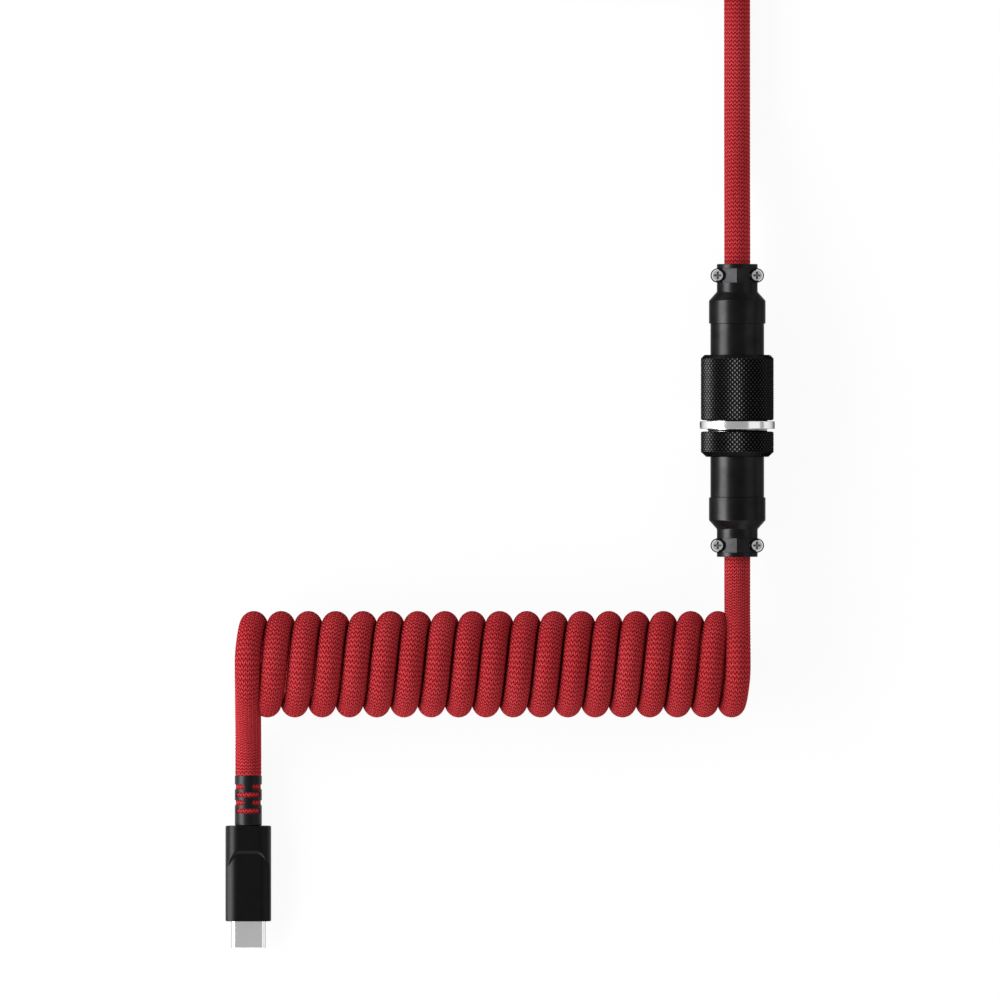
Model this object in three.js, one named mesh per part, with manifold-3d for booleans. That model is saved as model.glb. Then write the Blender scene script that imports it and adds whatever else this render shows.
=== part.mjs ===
// Coiled USB-C keyboard cable with a screw-locked quick-disconnect connector in the middle.
// Millimetres, +Z up. The cable lies on the plane z = 0. The coil runs along X, and both the connector and
// the USB-C plug point along Y: the plug's mouth faces -Y, and the straight host cord leaves towards +Y.
// The origin is under the middle of the coil, connector and plug, on the surface they lie on.
import * as THREE from "three";
import { mergeVertices } from "three/addons/utils/BufferGeometryUtils.js";
import Module from "manifold-3d";

const wasm = await Module();
wasm.setup();

// ---------------------------------------------------------------- driving dimensions
const GAP = 0.3; // clearance between neighbouring pieces
const HALF_LENGTH = 82.12; // from the origin to the connector's host end, and to the USB-C tip
const ROUND = 32; // facets round a turned piece
const RIM_ROUND = 36; // facets round the nut and the rings that the connector rests on
const SMALL_ROUND = 8; // facets round a pin or a screw hole
const EAR_ROUND = 16; // facets round an ear or a screw head

const CORD_R = 3.1; // braided cord, 6.2 mm across
const COIL_R = 9.65; // helix radius of the cord's centreline
const COIL_Y = -13.92;
const COIL_OUTER_R = COIL_R + CORD_R;
const COIL_Z = COIL_OUTER_R;

const CONNECTOR_X = 56.95;
const CONNECTOR_R = 9.0; // silver flange, the widest ring of the connector, which lies on the surface
const CONNECTOR_LENGTH = 70.3;
const PLUG_X = -60.45;

// Back shell, the same on both halves, measured inwards from its cord end.
const SHELL_FLANGE = 1.0;
const SHELL_SADDLE_END = 4.5;
const SHELL_NECK_END = 6.65;
const SHELL_CONE_END = 8.8;
const SHELL_LENGTH = 14.05;
const NECK_R = 4.9;
const COLLAR_R = 6.8;
const BARREL_R = 6.45;
const SPIGOT_R = 5.75; // rear of each barrel, inside its back shell
const BORE_R = 5.2;
const CORD_BORE_R = 3.45;

// Clamp bar over the cord, with an ear and a screw on each side.
const EAR_X = 4.7;
const EAR_R = 1.65;
const BAR_PLAY = 0.1; // between the bar and the shell at each side
const BAR_RIDGE_Z = 4.3;
const BAR_FOOT_X = 3.6;
const BAR_BORE_R = 3.3;
const EAR_TOP_Z = 2.2;
const EAR_BOTTOM_Z = 0.3;
const SADDLE_TOP_Z = -0.15;
const SADDLE_BOTTOM_Z = -2.35;
const SCREW_R = 0.8;
const SCREW_HEAD_R = 1.5;
const SCREW_HEAD_HEIGHT = 1.0;
const SCREW_HEAD_CHAMFER = 0.45;
const SCREW_TIP_Z = -1.6;
const HEAD_PLAY = 0.15; // between a screw head and the bar beside it
const CROSS_RECESS = { length: 1.7, width: 0.4, depth: 0.6 };

// Distances along the connector, from its host end.
const NUT_START = 21.8;
const NUT_LIP_END = 24.5;
const NUT_END = 37.5;
const NUT_R = 8.8;
const NUT_LIP_BORE_R = 6.8;
const NUT_BORE_R = 7.75;
const WASHER_THICKNESS = 0.6;
const SHOULDER_START = 25.7;
const SHOULDER_END = 27.5;
const SHOULDER_R = 7.4;
const SLEEVE_R = 5.95;
const SLEEVE_END = 36.0;
const SOCKET_START = 27.9;
const SOCKET_PLAIN_END = 32.5; // the socket's sleeve is threaded only behind this
const SOCKET_PLAIN_R = 7.1;
const SOCKET_THREAD_R = 7.4;
const SOCKET_BORE_R = 6.3;
const SILVER_START = 37.75;
const SILVER_END = 39.55;
const SOCKET_LEDGE = 41.9;
const SOCKET_END = 44.6;
const RING_START = 40.2;
const RING_CHAMFER = 45.1;
const RING_END = 46.3;
const RING_R = 8.8;
const RING_BORE_R = 7.75;
const DEVICE_BARREL_START = 44.9;
const DEVICE_BARREL_LIP_END = 45.6;

// Contacts.
const CONTACT_COUNT = 5;
const CONTACT_CIRCLE_R = 2.9;
const PIN_R = 0.45;
const TUBE_BORE_R = 0.65;
const TUBE_R = 0.9;
const HOST_INSERT = [24.0, 35.0];
const DEVICE_INSERT = [36.7, 41.4];
const HOST_CONTACT = [21.5, 34.6];
const DEVICE_PIN = [30.2, 43.6];

// USB-C plug, measured from its cord end towards its tip.
const BOOT_LENGTH = 12.0;
const BOOT_R = 3.25;
const BOOT_BORE_R = 2.6;
const BOOT_SLOT = { width: 1.2, rows: [2.7, 4.6, 6.5, 8.5], sideBridge: 0.98, topBridge: 1.3 };
const OVERMOLD = { width: 11.0, height: 6.5, length: 23.0, corner: 3.2 };
const OVERMOLD_WALL = 1.3;
const MOUTH_DEPTH = 3.0;
const USB_C_RECESS = { width: 8.6, start: 5.8, arch: 2.2, depth: 0.7 };
const USB_C_SHELL = { width: 8.3, height: 2.5, corner: 1.23, wall: 0.3, out: 6.4, inside: 7.0 };

// Host cord and its storage coil, beyond the straight run.
const STORE_R = 40.0; // centreline of the outermost turn
const STORE_STEP = 6.5; // from one turn to the next
const STORE_Y = 192.5;
const STORE_X = CONNECTOR_X - STORE_R;
const LAYER_Z = [CORD_R, CORD_R + 6.3];
const TIE = { width: 12.0, thickness: 0.9 };

// USB-A plug, lying beside the storage coil, its tip towards -X.
const USB_A = { width: 15.5, height: 7.8, length: 30.0, corner: 3.2, boot: 14.0, bootR: 3.5 };
const USB_A_RECESS = { width: 12.4, start: 8.0, arch: 3.0, depth: 0.7 };
const USB_A_SHELL = { width: 12.0, height: 4.5, corner: 0.5, wall: 0.35, out: 11.75, inside: 6.0 };
const USB_A_Y = STORE_Y + STORE_R + 2 * CORD_R + GAP;
const USB_A_Z = USB_A.height / 2;

// ---------------------------------------------------------------- materials
const material = (color, roughness, metalness) =>
  new THREE.MeshStandardMaterial({ color, roughness, metalness });
const BRAID = material(0xa01d28, 0.8, 0.0);
const BLACK_METAL = material(0x1b1b1c, 0.38, 0.6);
const NICKEL = material(0xc9c9cb, 0.22, 1.0);
const STEEL = material(0xb4b4b6, 0.3, 1.0);
const GOLD = material(0xc9a24a, 0.3, 1.0);
const BLACK_PLASTIC = material(0x1a1a1b, 0.55, 0.0);
const BLACK_RUBBER = material(0x202021, 0.75, 0.0);
const INSULATOR = material(0x2a2a2c, 0.5, 0.0);
const BOARD = material(0x1d4d33, 0.5, 0.0);
const COPPER = material(0xb87333, 0.4, 1.0);
const WEBBING = material(0x1c1c1e, 0.9, 0.0);

// ---------------------------------------------------------------- solids
// A manifold solid of a closed three.js geometry, moved into place first when a matrix is given.
function solid(geometry, matrix) {
  const bare = new THREE.BufferGeometry();
  const plain = geometry.index ? geometry.toNonIndexed() : geometry;
  bare.setAttribute("position", plain.getAttribute("position").clone());
  if (matrix) bare.applyMatrix4(matrix);
  const merged = mergeVertices(bare, 1e-4);
  return new wasm.Manifold(
    new wasm.Mesh({
      numProp: 3,
      vertProperties: new Float32Array(merged.attributes.position.array),
      triVerts: new Uint32Array(merged.index.array),
    }),
  );
}

// A three.js geometry of a manifold solid.
function geometryOf(shape) {
  const mesh = shape.getMesh();
  const geometry = new THREE.BufferGeometry();
  geometry.setAttribute("position", new THREE.BufferAttribute(mesh.vertProperties, 3));
  geometry.setIndex(new THREE.BufferAttribute(mesh.triVerts, 1));
  const flat = geometry.toNonIndexed();
  flat.computeVertexNormals();
  return flat;
}

const at = (x, y, z) => new THREE.Matrix4().makeTranslation(x, y, z);

// Turns a piece made about the Y axis upright, so that its +Y becomes +Z.
const UPRIGHT = new THREE.Matrix4().makeRotationX(Math.PI / 2);

// A piece turned about the Y axis. The profile is a list of [radius, y] corners. It closes on itself, so a
// piece that reaches the axis has two corners of radius 0.
function turned(profile, facets = ROUND) {
  const points = profile.map(([r, y]) => new THREE.Vector2(r, y));
  if (THREE.ShapeUtils.area(points) < 0) points.reverse();
  if (profile.every(([r]) => r > 0)) points.push(points[0].clone());
  else while (points[0].x > 0 || points[points.length - 1].x > 0) points.push(points.shift());
  return new THREE.LatheGeometry(points, facets);
}

// A hollow round piece between two stations.
const sleeve = (outer, inner, from, to, facets = ROUND) =>
  turned([[inner, from], [outer, from], [outer, to], [inner, to]], facets);

// A solid round bar between two stations.
const bar = (radius, from, to, facets = SMALL_ROUND) =>
  turned([[0, from], [radius, from], [radius, to], [0, to]], facets);

// A rounded rectangle in the XY plane.
function roundedRect(width, height, corner, Kind = THREE.Shape) {
  const x = width / 2;
  const y = height / 2;
  const outline = new Kind();
  outline.moveTo(-x + corner, -y);
  outline.lineTo(x - corner, -y);
  outline.absarc(x - corner, -y + corner, corner, -Math.PI / 2, 0);
  outline.lineTo(x, y - corner);
  outline.absarc(x - corner, y - corner, corner, 0, Math.PI / 2);
  outline.lineTo(-x + corner, y);
  outline.absarc(-x + corner, y - corner, corner, Math.PI / 2, Math.PI);
  outline.lineTo(-x, -y + corner);
  outline.absarc(-x + corner, -y + corner, corner, Math.PI, Math.PI * 1.5);
  outline.closePath();
  return outline;
}

// A rounded bar or tube whose section is width (X) by height (Z) and which runs from y = 0 to y = -length.
function roundedBar(width, height, corner, length, hole) {
  const outline = roundedRect(width, height, corner);
  if (hole) outline.holes.push(roundedRect(hole.width, hole.height, hole.corner, THREE.Path));
  const options = { depth: length, bevelEnabled: false, curveSegments: 3 };
  return new THREE.ExtrudeGeometry(outline, options).rotateX(Math.PI / 2);
}

const box = (width, depth, height, x, y, z) =>
  solid(new THREE.BoxGeometry(width, depth, height), at(x, y, z));

// A round tube along a hand-chosen route of [x, y, z] points.
function tubeAlong(points, radius, steps, facets = 10) {
  const route = new THREE.CatmullRomCurve3(points.map((p) => new THREE.Vector3(...p)), false, "centripetal");
  const section = new THREE.Shape();
  for (let i = 0; i < facets; i += 1) {
    const a = (i / facets) * Math.PI * 2;
    if (i === 0) section.moveTo(radius, 0);
    else section.lineTo(Math.cos(a) * radius, Math.sin(a) * radius);
  }
  section.closePath();
  return new THREE.ExtrudeGeometry(section, { steps, extrudePath: route, bevelEnabled: false });
}

const object = new THREE.Group();

function addPiece(name, geometry, surface, x = 0, y = 0, z = 0) {
  const mesh = new THREE.Mesh(geometry, surface);
  mesh.name = name;
  mesh.position.set(x, y, z);
  object.add(mesh);
}

// Pieces of the connector are turned about its own axis, and their stations run from its host end.
const station = (s) => HALF_LENGTH - s;
const addConnectorPiece = (name, geometry, surface) =>
  addPiece(name, geometry, surface, CONNECTOR_X, 0, CONNECTOR_R);

// ---------------------------------------------------------------- connector: shells and clamps
// end: y of the shell's cord end; inwards: -1 on the host half and +1 on the device half.
function backShell(end, inwards) {
  const y = (t) => end + inwards * t;
  const hull = solid(
    turned([
      [CORD_BORE_R, y(0)],
      [NECK_R, y(0)],
      [NECK_R, y(SHELL_NECK_END)],
      [COLLAR_R, y(SHELL_CONE_END)],
      [COLLAR_R, y(SHELL_LENGTH)],
      [SPIGOT_R + GAP, y(SHELL_LENGTH)],
      [SPIGOT_R + GAP, y(SHELL_CONE_END + 1)],
      [CORD_BORE_R, y(SHELL_NECK_END)],
    ]),
  );
  // The saddle keeps the lower half of the cord; its ears take the clamp screws.
  const middle = y((SHELL_FLANGE + SHELL_SADDLE_END) / 2);
  const length = SHELL_SADDLE_END - SHELL_FLANGE;
  const cutAway = box(3 * NECK_R, length, 2 * NECK_R, 0, middle, NECK_R);
  const plate = SADDLE_TOP_Z - SADDLE_BOTTOM_Z;
  let ears = box(2 * EAR_X, length, plate, 0, middle, SADDLE_BOTTOM_Z + plate / 2);
  const screwHoles = [];
  for (const side of [-1, 1]) {
    const place = at(side * EAR_X, middle, 0).multiply(UPRIGHT);
    ears = ears.add(solid(bar(EAR_R, SADDLE_BOTTOM_Z, SADDLE_TOP_Z, EAR_ROUND), place));
    screwHoles.push(solid(bar(SCREW_R + GAP, -CONNECTOR_R, 0), place));
  }
  const cordWay = solid(bar(CORD_BORE_R, y(-1), y(SHELL_NECK_END), ROUND));
  let shape = hull.subtract(cutAway).add(ears.subtract(cordWay));
  for (const hole of screwHoles) shape = shape.subtract(hole);
  return geometryOf(shape);
}

// The clamp bar arches over the cord as two flat facets that meet in a ridge, and ends in two round ears.
// Each facet is hollowed round the screw head beside it.
function clampBar(end, inwards) {
  const length = SHELL_SADDLE_END - SHELL_FLANGE - 2 * BAR_PLAY;
  const middle = end + (inwards * (SHELL_FLANGE + SHELL_SADDLE_END)) / 2;
  const outline = new THREE.Shape();
  outline.moveTo(-EAR_X, EAR_BOTTOM_Z);
  outline.lineTo(EAR_X, EAR_BOTTOM_Z);
  outline.lineTo(EAR_X, EAR_TOP_Z);
  outline.lineTo(BAR_FOOT_X, EAR_TOP_Z);
  outline.lineTo(0, BAR_RIDGE_Z);
  outline.lineTo(-BAR_FOOT_X, EAR_TOP_Z);
  outline.lineTo(-EAR_X, EAR_TOP_Z);
  outline.closePath();
  const arch = new THREE.ExtrudeGeometry(outline, { depth: length, bevelEnabled: false });
  arch.rotateX(Math.PI / 2).translate(0, middle + length / 2, 0);
  let shape = solid(arch);
  for (const side of [-1, 1]) {
    const place = at(side * EAR_X, middle, 0).multiply(UPRIGHT);
    shape = shape.add(solid(bar(EAR_R, EAR_BOTTOM_Z, EAR_TOP_Z, EAR_ROUND), place));
    shape = shape.subtract(solid(bar(SCREW_R + GAP, 0, CONNECTOR_R), place));
    shape = shape.subtract(solid(bar(SCREW_HEAD_R + HEAD_PLAY, EAR_TOP_Z, CONNECTOR_R, EAR_ROUND), place));
  }
  const cordWay = solid(bar(BAR_BORE_R, middle - length, middle + length, 24));
  return geometryOf(shape.subtract(cordWay));
}

// Pan-head screw with a cross recess, its axis upright.
function clampScrew() {
  const head = EAR_TOP_Z + 0.1;
  const top = head + SCREW_HEAD_HEIGHT;
  const profile = [
    [0, SCREW_TIP_Z],
    [SCREW_R, SCREW_TIP_Z],
    [SCREW_R, head],
    [SCREW_HEAD_R, head],
    [SCREW_HEAD_R, top - SCREW_HEAD_CHAMFER],
    [SCREW_HEAD_R - SCREW_HEAD_CHAMFER, top],
    [0, top],
  ];
  const blank = solid(turned(profile, EAR_ROUND), UPRIGHT);
  const { length, width, depth } = CROSS_RECESS;
  const recess = box(length, width, 2 * depth, 0, 0, top).add(box(width, length, 2 * depth, 0, 0, top));
  return geometryOf(blank.subtract(recess));
}

function addCableClamp(half, end, inwards) {
  addConnectorPiece(`${half}_back_shell`, backShell(end, inwards), BLACK_METAL);
  addConnectorPiece(`${half}_clamp_bar`, clampBar(end, inwards), BLACK_METAL);
  const middle = end + (inwards * (SHELL_FLANGE + SHELL_SADDLE_END)) / 2;
  for (const [side, word] of [[-1, "left"], [1, "right"]]) {
    const x = CONNECTOR_X + side * EAR_X;
    addPiece(`${half}_clamp_screw_${word}`, clampScrew(), NICKEL, x, middle, CONNECTOR_R);
  }
}

// ---------------------------------------------------------------- connector: barrels, nut, socket
function addHostBarrel() {
  const shape = solid(
    turned([
      [BORE_R, station(SHELL_CONE_END + 1.5)],
      [SPIGOT_R, station(SHELL_CONE_END + 1.5)],
      [SPIGOT_R, station(SHELL_LENGTH + GAP)],
      [BARREL_R, station(SHELL_LENGTH + GAP)],
      [BARREL_R, station(SHOULDER_START)],
      [SHOULDER_R, station(SHOULDER_START)],
      [SHOULDER_R, station(SHOULDER_END)],
      [SLEEVE_R, station(SHOULDER_END)],
      [SLEEVE_R, station(SLEEVE_END)],
      [BORE_R, station(SLEEVE_END)],
    ]),
  );
  // The keyway lets the halves meet at one angle only.
  const keyway = box(1.6, 8, 3, 0, station(SLEEVE_END - 3.6), -SLEEVE_R);
  addConnectorPiece("host_barrel", geometryOf(shape.subtract(keyway)), BLACK_METAL);
}

function addCouplingNut() {
  const chamfer = 0.9;
  const profile = [
    [NUT_LIP_BORE_R, station(NUT_START)],
    [NUT_R - chamfer, station(NUT_START)],
    [NUT_R, station(NUT_START + chamfer)],
    [NUT_R, station(NUT_END - 0.3)],
    [NUT_R - 0.3, station(NUT_END)],
    [NUT_BORE_R, station(NUT_END)],
    [NUT_BORE_R, station(NUT_LIP_END)],
    [NUT_LIP_BORE_R, station(NUT_LIP_END)],
  ];
  addConnectorPiece("coupling_nut", turned(profile, RIM_ROUND), BLACK_METAL);
  const [washerStart, washerEnd] = [NUT_LIP_END + GAP, NUT_LIP_END + GAP + WASHER_THICKNESS];
  const washer = sleeve(NUT_BORE_R - GAP, BARREL_R + GAP, station(washerStart), station(washerEnd));
  addConnectorPiece("nut_thrust_washer", washer, STEEL);
}

function addSocket() {
  const body = solid(
    turned([
      [SOCKET_BORE_R, station(SOCKET_START)],
      [SOCKET_PLAIN_R, station(SOCKET_START)],
      [SOCKET_PLAIN_R, station(SOCKET_PLAIN_END)],
      [SOCKET_THREAD_R, station(SOCKET_PLAIN_END + 0.3)],
      [SOCKET_THREAD_R, station(SILVER_START)],
      [CONNECTOR_R, station(SILVER_START)],
      [CONNECTOR_R, station(SILVER_END)],
      [SOCKET_THREAD_R, station(SILVER_END)],
      [SOCKET_THREAD_R, station(SOCKET_END)],
      [BORE_R, station(SOCKET_END)],
      [BORE_R, station(SOCKET_LEDGE)],
      [SOCKET_BORE_R, station(SOCKET_LEDGE)],
    ], RIM_ROUND),
  );
  const key = box(1.0, 5, 1.2, 0, station(SOCKET_START) - 3.5, -SOCKET_BORE_R + 0.3);
  addConnectorPiece("socket_body", geometryOf(body.add(key)), NICKEL);
}

function addLockRing() {
  const profile = [
    [RING_BORE_R, station(RING_START)],
    [RING_R - 0.3, station(RING_START)],
    [RING_R, station(RING_START + 0.3)],
    [RING_R, station(RING_CHAMFER)],
    [SOCKET_THREAD_R + 0.05, station(RING_END)],
    [NUT_LIP_BORE_R, station(RING_END)],
    [NUT_LIP_BORE_R, station(DEVICE_BARREL_LIP_END + GAP)],
    [RING_BORE_R, station(DEVICE_BARREL_LIP_END + GAP)],
  ];
  addConnectorPiece("lock_ring", turned(profile, RIM_ROUND), BLACK_METAL);
}

function addDeviceBarrel() {
  const shellStart = CONNECTOR_LENGTH - SHELL_LENGTH;
  const profile = [
    [BORE_R, station(DEVICE_BARREL_START)],
    [SOCKET_THREAD_R - 0.05, station(DEVICE_BARREL_START)],
    [SOCKET_THREAD_R - 0.05, station(DEVICE_BARREL_LIP_END)],
    [BARREL_R, station(DEVICE_BARREL_LIP_END)],
    [BARREL_R, station(shellStart - GAP)],
    [SPIGOT_R, station(shellStart - GAP)],
    [SPIGOT_R, station(CONNECTOR_LENGTH - SHELL_CONE_END - 1.5)],
    [BORE_R, station(CONNECTOR_LENGTH - SHELL_CONE_END - 1.5)],
  ];
  addConnectorPiece("device_barrel", turned(profile), BLACK_METAL);
}

// ---------------------------------------------------------------- connector: contacts
const contactPlaces = Array.from({ length: CONTACT_COUNT }, (_, i) => {
  const a = Math.PI / 2 + (i / CONTACT_COUNT) * Math.PI * 2;
  return [Math.cos(a) * CONTACT_CIRCLE_R, Math.sin(a) * CONTACT_CIRCLE_R];
});

// A round insulator with one hole for each contact.
function insulator(radius, [from, to], holeR) {
  let shape = solid(bar(radius, station(from), station(to), ROUND));
  for (const [x, z] of contactPlaces) {
    shape = shape.subtract(solid(bar(holeR, station(from - 1), station(to + 1)), at(x, 0, z)));
  }
  return geometryOf(shape);
}

// The cord's cores: one trunk that fans out to the back of each contact.
function conductors(trunkFrom, trunkTo, contactEnd) {
  let shape = solid(bar(1.9, station(trunkFrom), station(trunkTo), 12));
  for (const [x, z] of contactPlaces) {
    const reach = contactEnd - trunkTo;
    const route = [
      [x * 0.3, station(trunkTo - reach * 0.15), z * 0.3],
      [x * 0.45, station(trunkTo + reach * 0.2), z * 0.45],
      [x * 0.95, station(trunkTo + reach * 0.7), z * 0.95],
      [x, station(contactEnd), z],
    ];
    shape = shape.add(solid(tubeAlong(route, 0.5, 4, 6)));
  }
  return geometryOf(shape);
}

function addContacts() {
  const holeR = TUBE_R + 0.15;
  addConnectorPiece("host_insert", insulator(BORE_R - GAP, HOST_INSERT, holeR), INSULATOR);
  addConnectorPiece("device_insert", insulator(SOCKET_BORE_R - GAP, DEVICE_INSERT, PIN_R + 0.15), INSULATOR);
  contactPlaces.forEach(([x, z], i) => {
    const [from, to] = HOST_CONTACT;
    const tube = turned([
      [0, station(from)],
      [TUBE_R, station(from)],
      [TUBE_R, station(to)],
      [TUBE_BORE_R, station(to)],
      [TUBE_BORE_R, station(DEVICE_PIN[0] - GAP)],
      [0, station(DEVICE_PIN[0] - GAP)],
    ], 10);
    addPiece(`host_contact_${i + 1}`, tube, GOLD, CONNECTOR_X + x, 0, CONNECTOR_R + z);
    const pin = bar(PIN_R, station(DEVICE_PIN[0]), station(DEVICE_PIN[1]));
    addPiece(`device_pin_${i + 1}`, pin, GOLD, CONNECTOR_X + x, 0, CONNECTOR_R + z);
  });
  const hostFan = conductors(SHELL_NECK_END + 0.6, 13, HOST_CONTACT[0] - GAP);
  const deviceFan = conductors(CONNECTOR_LENGTH - SHELL_NECK_END - 0.6, 57, DEVICE_PIN[1] + GAP);
  addConnectorPiece("host_conductors", hostFan, COPPER);
  addConnectorPiece("device_conductors", deviceFan, COPPER);
}

// ---------------------------------------------------------------- USB plugs
// Pieces of a plug are made with its cord end at y = 0 and its tip towards -Y, on its own axis.
// A slotted boot: rows of slots, each row turned a quarter from the one before, show the cord through it.
function slottedBoot(radius, length) {
  let shape = solid(sleeve(radius, BOOT_BORE_R, 0, -length, 20));
  const { width, rows, sideBridge, topBridge } = BOOT_SLOT;
  const reach = radius + 1;
  rows.forEach((t, i) => {
    for (const side of [-1, 1]) {
      const fromSide = side * (sideBridge + reach / 2);
      const fromTop = side * (topBridge + reach / 2);
      const cut = i % 2 === 0
        ? box(reach, width, 2 * reach, fromSide, -t, 0)
        : box(2 * reach, width, reach, 0, -t, fromTop);
      shape = shape.subtract(cut);
    }
  });
  return geometryOf(shape);
}

// A moulded grip with an arched thumb rest sunk into its top, open at both ends for the cord and the shell.
function overmold(size, shell, cordHole, recess) {
  const blank = solid(roundedBar(size.width, size.height, size.corner, size.length));
  const thinner = 2 * OVERMOLD_WALL;
  const inner = roundedBar(size.width - thinner, shell.height + 4 * GAP, 0.8, size.length - thinner);
  const cavity = solid(inner, at(0, -OVERMOLD_WALL, 0));
  const [mouthWidth, mouthHeight] = [shell.width + 2 * GAP, shell.height + 2 * GAP];
  const mouth = roundedBar(mouthWidth, mouthHeight, shell.corner + GAP, 2 * MOUTH_DEPTH);
  const mouthCut = solid(mouth, at(0, -size.length + MOUTH_DEPTH, 0));
  const cordCut = solid(bar(cordHole, 1, -2 * OVERMOLD_WALL, 16));
  const panel = new THREE.Shape();
  const half = recess.width / 2;
  panel.moveTo(-half, -size.length - 1);
  panel.lineTo(half, -size.length - 1);
  panel.lineTo(half, -recess.start - recess.arch);
  panel.quadraticCurveTo(half * 0.55, -recess.start, 0, -recess.start);
  panel.quadraticCurveTo(-half * 0.55, -recess.start, -half, -recess.start - recess.arch);
  panel.closePath();
  const options = { depth: 2, bevelEnabled: false, curveSegments: 6 };
  const sunk = solid(new THREE.ExtrudeGeometry(panel, options), at(0, 0, size.height / 2 - recess.depth));
  return geometryOf(blank.subtract(cavity).subtract(mouthCut).subtract(cordCut).subtract(sunk));
}

// A stamped shell: a rounded tube, round-ended for USB-C and square for USB-A.
const stampedShell = (size) =>
  roundedBar(size.width, size.height, size.corner, size.out + size.inside, {
    width: size.width - 2 * size.wall,
    height: size.height - 2 * size.wall,
    corner: size.corner - size.wall,
  });

// One row of contacts on the strip that joins them at the back.
function contactRow(count, pitch, width, length, thickness) {
  let row = box(count * pitch, 0.6, thickness, 0, -0.3, 0);
  for (let i = 0; i < count; i += 1) {
    const x = (i - (count - 1) / 2) * pitch;
    row = row.add(box(width, length, thickness, x, -length / 2 - 0.2, 0));
  }
  return geometryOf(row);
}

function addUsbCPlug() {
  const z = OVERMOLD.height / 2;
  const bootY = -HALF_LENGTH + USB_C_SHELL.out + OVERMOLD.length + BOOT_LENGTH;
  const gripY = bootY - BOOT_LENGTH;
  const tipY = -HALF_LENGTH;
  const place = (name, geometry, surface, y, lift = 0) =>
    addPiece(name, geometry, surface, PLUG_X, y, z + lift);
  place("usb_c_boot", slottedBoot(BOOT_R, BOOT_LENGTH - GAP), BLACK_RUBBER, bootY);
  const grip = overmold(OVERMOLD, USB_C_SHELL, BOOT_BORE_R, USB_C_RECESS);
  place("usb_c_overmold", grip, BLACK_PLASTIC, gripY);
  const shellY = tipY + USB_C_SHELL.out + USB_C_SHELL.inside;
  place("usb_c_shell", stampedShell(USB_C_SHELL), STEEL, shellY);
  const carrier = roundedBar(7.4, 1.6, 0.78, 11, { width: 6.7, height: 0.95, corner: 0.3 });
  place("usb_c_contact_carrier", carrier, INSULATOR, tipY + 11.4);
  place("usb_c_contacts_upper", contactRow(12, 0.5, 0.26, 5.5, 0.12), GOLD, shellY - 0.6, 0.28);
  place("usb_c_contacts_lower", contactRow(12, 0.5, 0.26, 5.5, 0.12), GOLD, shellY - 0.6, -0.28);
  addPiece("usb_c_circuit_board", new THREE.BoxGeometry(7.2, 6.5, 0.8), BOARD, PLUG_X, shellY + 3.6, z);
  place("usb_c_crimp", sleeve(1.75, 1.3, 0, -3, 16), STEEL, gripY - 1.5);
}

function addUsbAPlug(cordX) {
  const quarterTurn = new THREE.Matrix4().makeRotationZ(-Math.PI / 2);
  const place = (name, geometry, surface, x, lift = 0) =>
    addPiece(name, geometry.applyMatrix4(quarterTurn), surface, x, USB_A_Y, USB_A_Z + lift);
  const gripX = cordX - USB_A.boot;
  const tipX = gripX - USB_A.length - USB_A_SHELL.out;
  place("usb_a_boot", slottedBoot(USB_A.bootR, USB_A.boot - GAP), BLACK_RUBBER, cordX);
  const grip = overmold(USB_A, USB_A_SHELL, BOOT_BORE_R, USB_A_RECESS);
  place("usb_a_overmold", grip, BLACK_PLASTIC, gripX);
  const shellX = tipX + USB_A_SHELL.out + USB_A_SHELL.inside;
  let shell = solid(stampedShell(USB_A_SHELL));
  for (const side of [-1, 1]) {
    for (const face of [-1, 1]) {
      const y = -(USB_A_SHELL.inside + USB_A_SHELL.out) + 6.4;
      shell = shell.subtract(box(2.2, 2.4, 1.5, side * 3, y, (face * USB_A_SHELL.height) / 2));
    }
  }
  place("usb_a_shell", geometryOf(shell), STEEL, shellX);
  const tongueLength = USB_A_SHELL.out + 4;
  place("usb_a_tongue", roundedBar(10.8, 1.85, 0.2, tongueLength), INSULATOR, tipX + tongueLength + 0.3, 0.7);
  [-3.5, -1, 1, 3.5].forEach((x, i) => {
    const strip = new THREE.BoxGeometry(1.0, 8.5, 0.2).translate(x, 0, 0);
    place(`usb_a_contact_${i + 1}`, strip, GOLD, tipX + 6.2, 0.7 - 0.925 - 0.2);
  });
  place("usb_a_crimp", sleeve(1.9, 1.4, 0, -4, 16), STEEL, gripX - 1.5);
}

// ---------------------------------------------------------------- cords
const coilLength = CONNECTOR_X - PLUG_X + 2 * CORD_R;

function addCoil() {
  const ring = sleeve(COIL_OUTER_R, COIL_R - CORD_R, -coilLength / 2, coilLength / 2);
  addPiece("device_coil", ring.rotateZ(Math.PI / 2), BRAID, (CONNECTOR_X + PLUG_X) / 2, COIL_Y, COIL_Z);
}

// The route of each tail, as [y, z]: over the top of the coil, down in a gentle S and level into its fitting.
const TAIL_TO_CONNECTOR = [
  [-13.92, 22.4], [-11.42, 22.07], [-9.09, 21.11], [-7.1, 19.57], [-4.12, 16.65],
  [-1.23, 13.7], [2.08, 11.15], [5.94, 9.56], [9.6, 9.02], [11.52, 9.0],
];
const TAIL_TO_PLUG = [
  [-13.92, 22.4], [-16.95, 21.91], [-19.69, 20.49], [-21.82, 18.29], [-25.02, 13.7],
  [-28.25, 9.15], [-31.4, 5.98], [-35.3, 3.92], [-38.8, 3.27], [-40.42, 3.25],
];

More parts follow.
